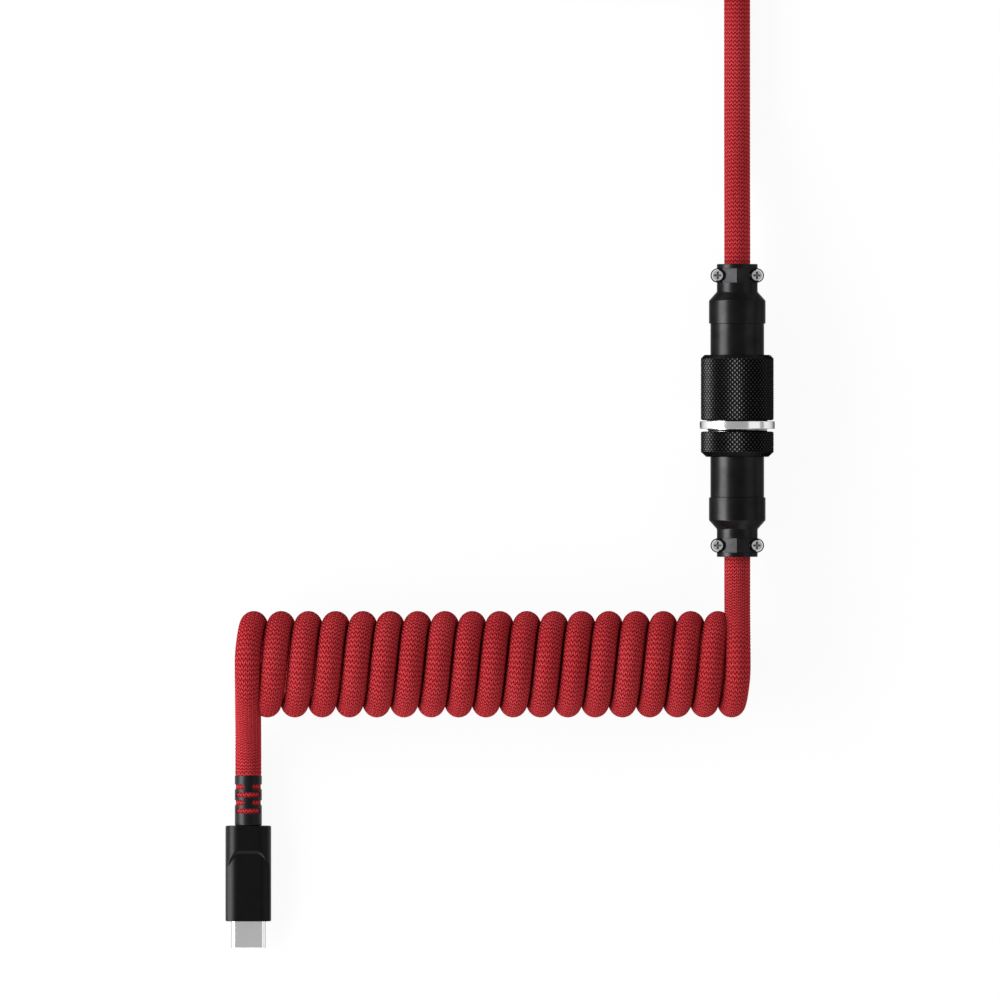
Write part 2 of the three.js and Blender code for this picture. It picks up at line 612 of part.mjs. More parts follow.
// A tail starts where it comes clear of the coil, so its end is scooped to the coil's round.
function tail(x, route) {
  const tube = solid(tubeAlong(route.map(([y, z]) => [x, y, z]), CORD_R, 12, 10));
  const across = new THREE.Matrix4().makeRotationZ(Math.PI / 2);
  const coil = solid(bar(COIL_OUTER_R + GAP, -80, 80, ROUND), at(0, COIL_Y, COIL_Z).multiply(across));
  return geometryOf(tube.subtract(coil));
}

// The straight run comes down from the connector to the surface and goes on to the storage coil.
const HOST_ROUTE = [
  [56.95, 82.42, 9.0], [56.95, 87, 8.9], [56.95, 93, 8.25], [56.95, 100, 6.75], [56.95, 108, 4.9],
  [56.95, 115, 3.7], [56.95, 122, 3.2], [56.95, 132, 3.12], [56.95, 145, 3.12],
];

function addHostCord() {
  addPiece("device_tail_to_connector", tail(CONNECTOR_X, TAIL_TO_CONNECTOR), BRAID);
  addPiece("device_tail_to_plug", tail(PLUG_X, TAIL_TO_PLUG), BRAID);

  // The straight run ends where it meets the round of the storage coil.
  const outer = STORE_R + CORD_R;
  const inner = STORE_R - 2 * STORE_STEP - CORD_R;
  const top = LAYER_Z[1] + CORD_R;
  const clearance = at(STORE_X, STORE_Y, 0).multiply(UPRIGHT);
  const run = [...HOST_ROUTE, [CONNECTOR_X, STORE_Y - 20, 3.12], [CONNECTOR_X, STORE_Y, 3.12]];
  const straight = solid(tubeAlong(run, CORD_R, 20, 10));
  const reach = solid(bar(outer + GAP, -1, top + 1, 48), clearance);
  addPiece("host_cord", geometryOf(straight.subtract(reach)), BRAID);

  // Two layers of turns, drawn in under the tie on the side away from the straight run.
  const ring = solid(sleeve(outer, inner, 0, top, 48), clearance);
  const tieX = STORE_X - (inner + outer) / 2;
  const bundle = { width: 2 * STORE_STEP, low: TIE.thickness + GAP, high: top + 0.3 };
  const notch = box(outer, TIE.width + 2 * GAP, 3 * top, tieX, STORE_Y, 0);
  const height = bundle.high - bundle.low;
  const waistMiddle = bundle.low + height / 2;
  const waist = box(bundle.width - 2 * GAP, TIE.width + 4 * GAP, height, tieX, STORE_Y, waistMiddle);
  addPiece("host_storage_coil", geometryOf(ring.subtract(notch.subtract(waist))), BRAID);

  const tieHigh = bundle.high + GAP + TIE.thickness;
  const strap = box(bundle.width + 2 * TIE.thickness, TIE.width, tieHigh, tieX, STORE_Y, tieHigh / 2);
  const inside = box(bundle.width, TIE.width + 1, tieHigh - 2 * TIE.thickness, tieX, STORE_Y, tieHigh / 2);
  addPiece("coil_tie", geometryOf(strap.subtract(inside)), WEBBING);

  // The free end lies beside the coil and goes into the USB-A plug.
  const endRoute = [
    [STORE_X, USB_A_Y, CORD_R], [STORE_X - 3, USB_A_Y, CORD_R + 0.1], [STORE_X - 7, USB_A_Y, USB_A_Z - 0.1],
    [STORE_X - 10 + GAP, USB_A_Y, USB_A_Z],
  ];
  addPiece("host_cord_end", tubeAlong(endRoute, CORD_R, 4, 10), BRAID);
}

// ---------------------------------------------------------------- assembly
addCableClamp("host", station(0), -1);
addCableClamp("device", station(CONNECTOR_LENGTH), 1);
addHostBarrel();
addCouplingNut();
addSocket();
addLockRing();
addDeviceBarrel();
addContacts();
addUsbCPlug();
addCoil();
addHostCord();
addUsbAPlug(STORE_X - 10);

export default object;
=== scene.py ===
# Coiled USB-C keyboard cable with an inline quick-disconnect connector, lying on a pale floor.
# Shapes are written in millimetres in the part's frame and scaled to metres when a piece is made.
import math

import bmesh
import bpy
import numpy as np
from mathutils import Matrix, Vector


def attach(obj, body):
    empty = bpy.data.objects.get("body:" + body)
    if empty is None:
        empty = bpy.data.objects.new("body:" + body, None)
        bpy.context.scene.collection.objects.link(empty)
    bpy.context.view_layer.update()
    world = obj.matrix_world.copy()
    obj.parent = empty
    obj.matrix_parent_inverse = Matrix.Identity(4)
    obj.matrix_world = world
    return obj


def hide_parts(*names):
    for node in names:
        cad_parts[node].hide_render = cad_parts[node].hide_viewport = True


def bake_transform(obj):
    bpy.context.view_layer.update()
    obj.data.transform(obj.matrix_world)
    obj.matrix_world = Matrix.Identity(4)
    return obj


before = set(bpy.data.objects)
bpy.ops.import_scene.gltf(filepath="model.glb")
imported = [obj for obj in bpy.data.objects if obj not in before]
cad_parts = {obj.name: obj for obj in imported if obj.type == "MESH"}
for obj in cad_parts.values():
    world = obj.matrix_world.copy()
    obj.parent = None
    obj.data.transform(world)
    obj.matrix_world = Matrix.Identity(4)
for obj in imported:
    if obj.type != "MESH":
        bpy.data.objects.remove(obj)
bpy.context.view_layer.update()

MM = 0.001
TAU = 2 * math.pi

# ---------------------------------------------------------------- camera and light
FIELD = 240.0  # width of the view on the floor
CAMERA_DISTANCE = 8.0
AIM = (0.0, 0.02548, 0.010)

camera_data = bpy.data.cameras.new("camera")
camera_data.type = "PERSP"
camera_data.sensor_width = 36.0
camera_data.lens = camera_data.sensor_width * CAMERA_DISTANCE / (FIELD * MM)
camera_data.clip_start = 0.05
camera_data.clip_end = 100.0
camera = bpy.data.objects.new("camera", camera_data)
camera.location = (AIM[0], AIM[1], AIM[2] + CAMERA_DISTANCE)
bpy.context.collection.objects.link(camera)
bpy.context.scene.camera = camera
bpy.context.scene.view_settings.view_transform = "Standard"

world = bpy.data.worlds.new("studio")
world.use_nodes = True
backdrop = world.node_tree.nodes["Background"]
backdrop.inputs["Color"].default_value = (1.0, 1.0, 1.0, 1.0)
backdrop.inputs["Strength"].default_value = 0.42
bpy.context.scene.world = world


def softbox(name, zenith, azimuth, radiance, width, height, distance=1.5, diffuse=True):
    """An area light that faces the object from an angle off the vertical; azimuth runs from +X."""
    data = bpy.data.lights.new(name, "AREA")
    data.shape = "RECTANGLE"
    data.size = width
    data.size_y = height
    data.energy = radiance * math.pi * width * height
    light = bpy.data.objects.new(name, data)
    z, a = math.radians(zenith), math.radians(azimuth)
    away = Vector((math.sin(z) * math.cos(a), math.sin(z) * math.sin(a), math.cos(z)))
    light.location = Vector(AIM) + away * distance
    light.rotation_euler = away.to_track_quat("Z", "Y").to_euler()
    light.visible_diffuse = diffuse
    bpy.context.collection.objects.link(light)


softbox("key", 64, 180, 5.0, 3.2, 0.95)
softbox("key_sheen", 64, 180, 8.5, 4.6, 0.95, distance=1.48, diffuse=False)
softbox("fill", 56, 0, 0.6, 3.2, 1.05)
softbox("front", 74, 270, 2.2, 2.0, 0.5, diffuse=False)

# ---------------------------------------------------------------- part dimensions
CORD_R = 3.1
CORD_IN_BOOT_R = 2.98
COIL_R = 9.65
COIL_TURNS = 18
COIL_Y = -13.92
COIL_Z = 12.75
CONNECTOR_X = 56.95
CONNECTOR_R = 9.0
CONNECTOR_LENGTH = 70.3
HALF_LENGTH = 82.12
PLUG_X = -60.45

TAIL_TO_CONNECTOR = [
    (-13.92, 22.4), (-11.42, 22.07), (-9.09, 21.11), (-7.1, 19.57), (-4.12, 16.65),
    (-1.23, 13.7), (2.08, 11.15), (5.94, 9.56), (9.6, 9.02), (11.52, 9.0),
]
TAIL_TO_PLUG = [
    (-13.92, 22.4), (-16.95, 21.91), (-19.69, 20.49), (-21.82, 18.29), (-25.02, 13.7),
    (-28.25, 9.15), (-31.4, 5.98), (-35.3, 3.92), (-38.8, 3.27), (-40.42, 3.25),
]
HOST_ROUTE = [
    (56.95, 82.42, 9.0), (56.95, 87, 8.9), (56.95, 93, 8.25), (56.95, 100, 6.75), (56.95, 108, 4.9),
    (56.95, 115, 3.7), (56.95, 122, 3.2), (56.95, 132, 3.12), (56.95, 145, 3.12),
    (56.95, 172.5, 3.12), (56.95, 192.5, 3.12),
]
USB_A_RUN = [(16.95, 3.12), (13.95, 3.2), (9.95, 3.8), (6.95, 3.9), (-4.9, 3.9)]
STORE = (16.95, 192.5)
STORE_R = 40.0
STORE_STEP = 6.5
LAYER_Z = (3.12, 9.4)
USB_A_Y = 239.0
USB_A_Z = 3.9
USB_C_Z = 3.25

# The connector: distances along it, from its host end, and radii.
BACK_SHELL = {"flange": 1.0, "saddle": 4.5, "neck": 6.65, "cone": 8.8, "length": 14.05}
COLLAR_LAP = 0.27  # how far a back shell's collar reaches over its barrel's step
NECK_R = 4.9
COLLAR_R = 6.8
COLLAR_BORE_R = 6.05
CORD_BORE_R = 3.45
EAR_X = 4.7
EAR_R = 1.72
BAR_PLAY = 0.02
BAR_BORE_R = 3.3
RIDGE_Z = 4.3
EAR_TOP_Z = 2.2
EAR_BOTTOM_Z = 0.3
SADDLE_TOP_Z = -0.15
SADDLE_BOTTOM_Z = -2.35
SCREW_R = 0.8
SCREW_HOLE_R = 1.1
SCREW_TIP_Z = -1.6
HEAD_R = 1.5
HEAD_Z = 2.3
HEAD_HEIGHT = 0.95

BARREL_R = 6.45
SPIGOT_R = 5.75
BORE_R = 5.2
SHOULDER = (25.7, 27.5)
SHOULDER_R = 7.4
SLEEVE_R = 5.95
SLEEVE_END = 36.0
NUT_START = 21.8
NUT_LIP_END = 24.5
NUT_END = 37.5
NUT_BORE_R = 7.75
LIP_BORE_R = 6.8
KNURL_R = 8.8
SOCKET_START = 27.9
SOCKET_BORE_R = 6.3
SILVER = (37.75, 39.55)
SOCKET_LEDGE = 41.9
SOCKET_END = 44.6
RING_START = 40.2
RING_LIP = 45.9
RING_END = 46.3
CONTACTS = 5
CONTACT_CIRCLE_R = 2.9

# The plugs. A grip is width, height, corner and length, a mouth is width, height and corner.
BOOT_BORE_R = 3.06
SLOT = {"width": 1.2, "rows": (2.7, 4.6, 6.5, 8.5), "side_bridge": 0.98, "top_bridge": 1.3, "top_share": 0.89}
MOUTH_DEPTH = 3.0
USB_C_GRIP = (11.0, 6.5, 3.2, 23.0)
USB_C_MOUTH = (8.9, 3.1, 1.54)
USB_C_SHELL = (8.3, 2.5, 1.23, 0.3)  # width, height, corner, wall
USB_C_RECESS = {
    "foot": 4.4, "start": 5.8, "arch": 2.2, "depth": 0.65, "flat": 2.6, "round": 0.17, "slope": 1.2,
}
USB_A_GRIP = (15.5, 7.8, 3.2, 30.0)
USB_A_MOUTH = (12.6, 5.1, 0.8)
USB_A_RECESS = {
    "foot": 6.4, "start": 8.0, "arch": 3.0, "depth": 0.65, "flat": 4.8, "round": 0.17, "slope": 1.4,
}
TIE = {"width": 12.0, "thickness": 0.8, "bore": (13.2, 12.3, 2.6), "x": -16.55, "z": 7.0}


# ---------------------------------------------------------------- materials
class Shader:
    """A small writer of shader nodes round one Principled surface."""

    def __init__(self, name, color, roughness, metallic=0.0, **fixed):
        self.material = bpy.data.materials.new(name)
        self.material.use_nodes = True
        self.tree = self.material.node_tree
        self.surface = self.tree.nodes["Principled BSDF"]
        self.surface.inputs["Base Color"].default_value = (*color, 1.0)
        self.surface.inputs["Roughness"].default_value = roughness
        self.surface.inputs["Metallic"].default_value = metallic
        for key, value in fixed.items():
            self.surface.inputs[key.replace("_", " ")].default_value = value

    def node(self, kind, **settings):
        made = self.tree.nodes.new(kind)
        for key, value in settings.items():
            setattr(made, key, value)
        return made

    def link(self, source, target):
        self.tree.links.new(source, target)

    def math(self, operation, *values):
        made = self.node("ShaderNodeMath", operation=operation)
        for socket, value in zip(made.inputs, values):
            if isinstance(value, (int, float)):
                socket.default_value = value
            else:
                self.link(value, socket)
        return made.outputs[0]

    def smooth(self, value, low, high):
        made = self.node("ShaderNodeMapRange", interpolation_type="SMOOTHSTEP")
        self.link(value, made.inputs["Value"])
        made.inputs["From Min"].default_value = low
        made.inputs["From Max"].default_value = high
        return made.outputs["Result"]

    def noise(self, scale, detail=2.0, vector=None):
        coordinates = vector
        if coordinates is None:
            coordinates = self.node("ShaderNodeTexCoord").outputs["Object"]
        made = self.node("ShaderNodeTexNoise")
        made.inputs["Scale"].default_value = scale
        made.inputs["Detail"].default_value = detail
        self.link(coordinates, made.inputs["Vector"])
        return made.outputs["Fac"]

    def ramp(self, value, stops):
        made = self.node("ShaderNodeValToRGB")
        elements = made.color_ramp.elements
        while len(elements) < len(stops):
            elements.new(0.5)
        for element, (position, color) in zip(elements, stops):
            element.position = position
            element.color = (*color, 1.0)
        self.link(value, made.inputs["Fac"])
        return made.outputs["Color"]

    def color(self, value, stops):
        self.link(self.ramp(value, stops), self.surface.inputs["Base Color"])

    def roughness(self, value, low, high):
        made = self.node("ShaderNodeMapRange")
        self.link(value, made.inputs["Value"])
        made.inputs["To Min"].default_value = low
        made.inputs["To Max"].default_value = high
        self.link(made.outputs["Result"], self.surface.inputs["Roughness"])

    def bump(self, height, distance, strength=1.0):
        made = self.node("ShaderNodeBump")
        made.inputs["Strength"].default_value = strength
        made.inputs["Distance"].default_value = distance
        self.link(height, made.inputs["Height"])
        self.link(made.outputs["Normal"], self.surface.inputs["Normal"])


def grained(name, dark, light, rough, metallic=0.0, grain=900.0, bump=0.00001, **fixed):
    """A surface whose colour and roughness wander a little between two values, with a fine grain."""
    made = Shader(name, light, rough[0], metallic, **fixed)
    wander = made.noise(grain / 6, 3.0)
    made.color(wander, [(0.3, dark), (0.7, light)])
    fine = made.noise(grain, 4.0)
    made.roughness(fine, *rough)
    made.bump(fine, bump, 0.5)
    return made.material


def braid_material():
    """Plaited yarn: columns of strands that lean to the left and right by turns, with painted shade between
    the strands and a painted highlight on their crests.
    """
    made = Shader("braid", (0.3, 0.02, 0.03), 0.62, Specular_IOR_Level=0.0)
    plaits = made.node("ShaderNodeUVMap", uv_map="plait")
    split = made.node("ShaderNodeSeparateXYZ")
    made.link(plaits.outputs["UV"], split.inputs[0])
    around, along = split.outputs["X"], split.outputs["Y"]
    column = made.math("FLOOR", around)
    across = made.math("SUBTRACT", made.math("FRACT", around), 0.5)
    side = made.math("SUBTRACT", made.math("MULTIPLY", made.math("MODULO", column, 2.0), 2.0), 1.0)
    lean = made.math("MULTIPLY", made.math("MULTIPLY", across, side), 0.82)
    phase = made.math("FRACT", made.math("ADD", along, lean))
    from_edge = made.math("SUBTRACT", 1.0, made.math("ABSOLUTE", made.math("MULTIPLY_ADD", phase, 2.0, -1.0)))
    strand = made.smooth(from_edge, 0.0, 0.5)
    # painted shade: darker towards the seams between columns
    from_seam = made.math("SUBTRACT", 1.0, made.math("ABSOLUTE", made.math("MULTIPLY", across, 2.0)))
    body = made.math("MULTIPLY", strand, made.smooth(from_seam, -0.2, 0.35))
    yarn = made.math("FRACT", made.math("MULTIPLY", phase, 3.0))
    yarns = made.math("ABSOLUTE", made.math("SUBTRACT", yarn, 0.5))
    height = made.math("MULTIPLY", body, made.math("SUBTRACT", 1.0, made.math("MULTIPLY", yarns, 0.5)))
    fibre = made.noise(7.0, 3.0, vector=plaits.outputs["UV"])
    patch = made.noise(60.0, 2.0)
    strand_shade_and_highlight = made.math("MULTIPLY", height, made.math("MULTIPLY_ADD", fibre, 0.7, 0.62))
    strand_shade_and_highlight = made.math("MULTIPLY", strand_shade_and_highlight, made.math("MULTIPLY_ADD", patch, 0.3, 0.85))
    # the low stops are painted shade between the strands, the top stop a painted pinkish highlight on their
    # crests; the noise gives random tone
    made.color(
        strand_shade_and_highlight,
        [
            (0.0, (0.080, 0.002, 0.003)),
            (0.3, (0.20, 0.006, 0.009)),
            (0.6, (0.41, 0.014, 0.019)),
            (1.0, (0.70, 0.078, 0.090)),
        ],
    )
    made.bump(height, 0.00016)
    return made.material


def webbing_material():
    made = Shader("webbing", (0.02, 0.02, 0.022), 0.9)
    weave = made.node("ShaderNodeTexVoronoi")
    weave.inputs["Scale"].default_value = 1400.0
    made.link(made.node("ShaderNodeTexCoord").outputs["Object"], weave.inputs["Vector"])
    made.color(weave.outputs["Distance"], [(0.0, (0.035, 0.035, 0.038)), (0.8, (0.008, 0.008, 0.009))])
    made.bump(weave.outputs["Distance"], 0.0002)
    return made.material


def knurled_metal():
    """Black metal, with painted shade in the valleys of its knurl and a painted highlight on its points."""
    made = Shader("knurled_metal", (0.015, 0.015, 0.0155), 0.32, 1.0, Specular_Tint=(0.3, 0.3, 0.3, 1.0))
    heights = made.node("ShaderNodeUVMap", uv_map="knurl")
    split = made.node("ShaderNodeSeparateXYZ")
    made.link(heights.outputs["UV"], split.inputs[0])
    wander = made.noise(900.0, 2.0)
    painted_knurl_light = made.math("MULTIPLY", split.outputs["X"], made.math("MULTIPLY_ADD", wander, 0.3, 0.85))
    # painted shade in the knurl's valleys and painted highlight on its points, following the knurl height
    made.color(
        painted_knurl_light,
        [(0.1, (0.0025, 0.0025, 0.0026)), (0.5, (0.013, 0.013, 0.0135)), (0.95, (0.055, 0.055, 0.056))],
    )
    fine = made.noise(1500.0, 4.0)
    made.roughness(fine, 0.32, 0.38)
    made.bump(fine, 0.00001, 0.5)
    return made.material


BRAID = braid_material()
WEBBING = webbing_material()
BLACK_METAL = grained(
    "black_metal", (0.012, 0.012, 0.0125), (0.018, 0.018, 0.0185), (0.28, 0.34), 1.0, 1500.0,
    Specular_Tint=(0.5, 0.5, 0.5, 1.0),
)
KNURLED_METAL = knurled_metal()
NICKEL = grained(
    "nickel", (0.80, 0.80, 0.81), (0.86, 0.86, 0.86), (0.15, 0.17), 1.0, 1200.0, bump=0.000001,
    Specular_Tint=(0.0, 0.0, 0.0, 1.0),
)
# the same nickel painted darker as painted shade, for the screws' cross recesses and the socket's threads
NICKEL_PAINTED_SHADE = grained("nickel_painted_shade", (0.22, 0.22, 0.225), (0.30, 0.30, 0.30), (0.22, 0.30), 1.0, 1200.0)
STEEL = grained(
    "steel", (0.91, 0.91, 0.92), (0.97, 0.97, 0.98), (0.18, 0.24), 1.0, 1000.0, bump=0.000002,
    Specular_Tint=(0.0, 0.0, 0.0, 1.0),
)
GOLD = grained("gold", (0.72, 0.48, 0.14), (0.82, 0.58, 0.20), (0.18, 0.28), 1.0, 1500.0)
COPPER = grained("copper", (0.55, 0.24, 0.11), (0.70, 0.33, 0.17), (0.3, 0.45), 1.0, 1500.0)
PLASTIC = grained(
    "black_plastic", (0.0014, 0.0014, 0.0014), (0.0025, 0.0025, 0.0025), (0.33, 0.39), 0.0, 2200.0,
    Specular_IOR_Level=0.115,
)
RUBBER = grained(
    "black_rubber", (0.002, 0.002, 0.002), (0.004, 0.004, 0.004), (0.34, 0.42), 0.0, 2000.0,
    Specular_IOR_Level=0.16,
)
INSULATOR = grained("insulator", (0.012, 0.012, 0.013), (0.02, 0.02, 0.022), (0.4, 0.5), 0.0, 1800.0)
BOARD = grained("circuit_board", (0.010, 0.055, 0.026), (0.016, 0.085, 0.038), (0.35, 0.45), 0.0, 1500.0)

FINISHES = {
    "braid": BRAID,
    "black_metal": BLACK_METAL,
    "nickel": NICKEL,
    "steel": STEEL,
    "gold": GOLD,
    "copper": COPPER,
    "insulator": INSULATOR,
    "circuit_board": BOARD,
    "black_rubber": RUBBER,
    "black_plastic": PLASTIC,
    "webbing": WEBBING,
}


# ---------------------------------------------------------------- meshes
def raw_object(name, points, faces):
    """A mesh object from points in millimetres, with its faces turned outwards."""
    mesh = bpy.data.meshes.new(name)
    mesh.from_pydata([tuple(float(c) * MM for c in p) for p in points], [], faces)
    shaped = bmesh.new()
    shaped.from_mesh(mesh)
    bmesh.ops.remove_doubles(shaped, verts=shaped.verts, dist=1e-7)
    bmesh.ops.recalc_face_normals(shaped, faces=shaped.faces)
    shaped.to_mesh(mesh)
    shaped.free()
    made = bpy.data.objects.new(name, mesh)
    bpy.context.collection.objects.link(made)
    return made


def finished(made, finish, body, *nodes, crease=28.0):
    """Gives a made object its surface, its body and the CAD nodes that it replaces."""
    made.data.materials.clear()
    made.data.materials.append(FINISHES[finish])
    made.data.shade_smooth()
    made.data.set_sharp_from_angle(angle=math.radians(crease))
    if body:
        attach(made, body)
    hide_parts(*nodes)
    return made


def joined_rings(rings, closed):
    """Points and faces of a skin over rings of equal count: closed on itself, or capped at both ends."""
    count = len(rings[0])
    points = [p for ring in rings for p in ring]
    faces = []
    for k in range(len(rings) if closed else len(rings) - 1):
        a, b = k * count, ((k + 1) % len(rings)) * count
        for i in range(count):
            j = (i + 1) % count
            faces.append((a + i, a + j, b + j, b + i))
    if not closed:
        faces.append(tuple(range(count)))
        last = (len(rings) - 1) * count
        faces.append(tuple(last + i for i in reversed(range(count))))
    return points, faces


def filleted(profile, radius, closed=True, steps=3):
    """A profile with its corners eased by small arcs."""
    out = []
    count = len(profile)
    for i, corner in enumerate(profile):
        corner = Vector(corner)
        if not closed and i in (0, count - 1):
            out.append(tuple(corner))
            continue
        to_last = Vector(profile[i - 1]) - corner
        to_next = Vector(profile[(i + 1) % count]) - corner
        if to_last.angle(to_next) > math.radians(165):
            out.append(tuple(corner))
            continue
        cut = min(radius, 0.4 * to_last.length, 0.4 * to_next.length)
        to_last.normalize()
        to_next.normalize()
        for k in range(steps + 1):
            t = k / steps
            out.append(tuple(corner + to_last * cut * (1 - t) ** 2 + to_next * cut * t**2))
    return out


def round_ring(radius, y, x0, z0, count):
    angles = [TAU * i / count for i in range(count)]
    return [(x0 + radius * math.cos(a), y, z0 + radius * math.sin(a)) for a in angles]


def turned(name, profile, x0=CONNECTOR_X, z0=CONNECTOR_R, count=96, fillet=0.15, hollow=True):
    """A piece turned about an axis along Y. The profile is [radius, y] corners."""
    eased = filleted(profile, fillet, closed=hollow) if fillet else profile
    rings = [round_ring(r, y, x0, z0, count) for r, y in eased]
    return raw_object(name, *joined_rings(rings, hollow))


def station(s):
    return HALF_LENGTH - s


def rect_ring(width, height, corner, count):
    """Points round a rounded rectangle in the XZ plane, evenly spaced, from its right middle."""
    corner = min(corner, width / 2 - 0.001, height / 2 - 0.001)
    x, z = width / 2 - corner, height / 2 - corner
    arc = corner * math.pi / 2
    spans = [
        ("line", (width / 2, 0), (width / 2, z), z),
        ("arc", (x, z), 0, arc),
        ("line", (x, height / 2), (-x, height / 2), 2 * x),
        ("arc", (-x, z), math.pi / 2, arc),
        ("line", (-width / 2, z), (-width / 2, -z), 2 * z),
        ("arc", (-x, -z), math.pi, arc),
        ("line", (-x, -height / 2), (x, -height / 2), 2 * x),
        ("arc", (x, -z), math.pi * 1.5, arc),
        ("line", (width / 2, -z), (width / 2, 0), z),
    ]
    total = sum(s[3] for s in spans)
    ring = []
    for i in range(count):
        left = total * i / count
        for kind, a, b, length in spans:
            if left <= length or (kind, a, b, length) == spans[-1]:
                break
            left -= length
        if kind == "line":
            t = left / length if length else 0
            ring.append((a[0] + (b[0] - a[0]) * t, a[1] + (b[1] - a[1]) * t))
        else:
            angle = b + left / corner
            ring.append((a[0] + corner * math.cos(angle), a[1] + corner * math.sin(angle)))
    return ring


def block(name, low, high):
    (x0, y0, z0), (x1, y1, z1) = low, high
    points = [(x, y, z) for x in (x0, x1) for y in (y0, y1) for z in (z0, z1)]
    faces = [(0, 1, 3, 2), (4, 6, 7, 5), (0, 4, 5, 1), (2, 3, 7, 6), (0, 2, 6, 4), (1, 5, 7, 3)]
    return raw_object(name, points, faces)


def upright_bar(name, outline, z0, z1):
    """A prism that stands along Z on an outline of [x, y] corners."""
    rings = [[(x, y, z0) for x, y in outline], [(x, y, z1) for x, y in outline]]
    return raw_object(name, *joined_rings(rings, False))


def circle(x, y, radius, count=48):
    angles = [TAU * i / count for i in range(count)]
    return [(x + radius * math.cos(a), y + radius * math.sin(a)) for a in angles]


def carved(base, *steps):
    """The base after unions and differences with other objects, which are used up."""
    for operation, tool in steps:
        modifier = base.modifiers.new("carve", "BOOLEAN")
        modifier.operation = operation
        modifier.solver = "EXACT"
        modifier.object = tool
    bpy.context.view_layer.update()
    evaluated = base.evaluated_get(bpy.context.evaluated_depsgraph_get())
    mesh = bpy.data.meshes.new_from_object(evaluated)
    base.modifiers.clear()
    base.data = mesh
    for _, tool in steps:
        bpy.data.objects.remove(tool)
    return base


# ---------------------------------------------------------------- cords
CORD_SIDES = 40
PLAITS = 40
STITCH = 0.97
RING_STEP = STITCH / 2


def smooth_route(points, per_span=40):
    """A dense line through given points, as a centripetal spline."""
    p = [np.array(q, float) for q in points]
    p = [2 * p[0] - p[1], *p, 2 * p[-1] - p[-2]]
    out = []
    for a, b, c, d in zip(p, p[1:], p[2:], p[3:]):
        t0 = 0.0
        t1 = t0 + np.linalg.norm(b - a) ** 0.5
        t2 = t1 + np.linalg.norm(c - b) ** 0.5
        t3 = t2 + np.linalg.norm(d - c) ** 0.5
        for t in np.linspace(t1, t2, per_span, endpoint=False):
            ab = a * (t1 - t) / (t1 - t0) + b * (t - t0) / (t1 - t0)
            bc = b * (t2 - t) / (t2 - t1) + c * (t - t1) / (t2 - t1)
            cd = c * (t3 - t) / (t3 - t2) + d * (t - t2) / (t3 - t2)
            abc = ab * (t2 - t) / (t2 - t0) + bc * (t - t0) / (t2 - t0)
            bcd = bc * (t3 - t) / (t3 - t1) + cd * (t - t1) / (t3 - t1)
            out.append(abc * (t2 - t) / (t2 - t1) + bcd * (t - t1) / (t2 - t1))
    out.append(p[-2])
    return np.array(out)


def resampled(line, step, *extra):
    """The line at even steps, with any values that go along it."""
    gaps = np.linalg.norm(np.diff(line, axis=0), axis=1)
    keep = np.concatenate([[True], gaps > 1e-9])
    line = line[keep]
    extra = [np.asarray(e)[keep] for e in extra]
    travelled = np.concatenate([[0], np.cumsum(np.linalg.norm(np.diff(line, axis=0), axis=1))])
    count = max(2, round(travelled[-1] / step))
    wanted = np.linspace(0, travelled[-1], count + 1)
    even = np.stack([np.interp(wanted, travelled, line[:, i]) for i in range(3)], axis=1)
    return even, wanted, [np.interp(wanted, travelled, e) for e in extra]


def plaited_tube(name, centres, travelled, radii):
    """A tube over the ring centres whose skin stands up at every stitch of the plait."""
    tangents = np.gradient(centres, axis=0)
    tangents /= np.linalg.norm(tangents, axis=1)[:, None]
    normal = np.cross(tangents[0], (1.0, 0.0, 0.0))
    if np.linalg.norm(normal) < 0.1:
        normal = np.cross(tangents[0], (0.0, 0.0, 1.0))
    normals = []
    for tangent in tangents:
        normal = normal - tangent * (normal @ tangent)
        normal = normal / np.linalg.norm(normal)
        normals.append(normal)
    normals = np.array(normals)
    sides = np.cross(tangents, normals)
    angles = np.arange(CORD_SIDES) * TAU / CORD_SIDES
    ring_number = np.arange(len(centres))[:, None]
    corner = np.arange(CORD_SIDES)[None, :]
    raised = (ring_number + corner) % 2 == 0
    relief = np.where(raised, 0.04, -0.08)
    radius = np.asarray(radii)[:, None] + relief
    cosines, sines = np.cos(angles)[None, :, None], np.sin(angles)[None, :, None]
    around = cosines * normals[:, None, :] + sines * sides[:, None, :]
    points = (centres[:, None, :] + radius[:, :, None] * around).reshape(-1, 3) * MM
    rows = len(centres) - 1
    first = (np.arange(rows)[:, None] * CORD_SIDES + corner).ravel()
    following = (np.arange(rows)[:, None] * CORD_SIDES + (corner + 1) % CORD_SIDES).ravel()
    quads = np.stack([first, following, following + CORD_SIDES, first + CORD_SIDES], axis=1)
    last = rows * CORD_SIDES
    faces = [tuple(q) for q in quads.tolist()]
    faces.append(tuple(reversed(range(CORD_SIDES))))
    faces.append(tuple(last + i for i in range(CORD_SIDES)))
    mesh = bpy.data.meshes.new(name)
    mesh.from_pydata(points.tolist(), [], faces)
    u0 = np.tile(np.arange(CORD_SIDES) * PLAITS / CORD_SIDES, rows)
    u1 = u0 + PLAITS / CORD_SIDES
    v = np.asarray(travelled) / STITCH
    v0, v1 = np.repeat(v[:-1], CORD_SIDES), np.repeat(v[1:], CORD_SIDES)
    plait = np.stack([u0, v0, u1, v0, u1, v1, u0, v1], axis=1).ravel()
    plait = np.concatenate([plait, np.zeros(4 * CORD_SIDES)])
    mesh.uv_layers.new(name="plait").data.foreach_set("uv", plait.astype(np.float32))
    made = bpy.data.objects.new(name, mesh)
    bpy.context.collection.objects.link(made)
    return made


def thinned(gone, start, length=0.5):
    """Radii along a cord that thins from a start on, once it is inside its plug's boot."""
    t = np.clip((gone - start) / length, 0, 1)
    return CORD_R + (CORD_IN_BOOT_R - CORD_R) * t * t * (3 - 2 * t)


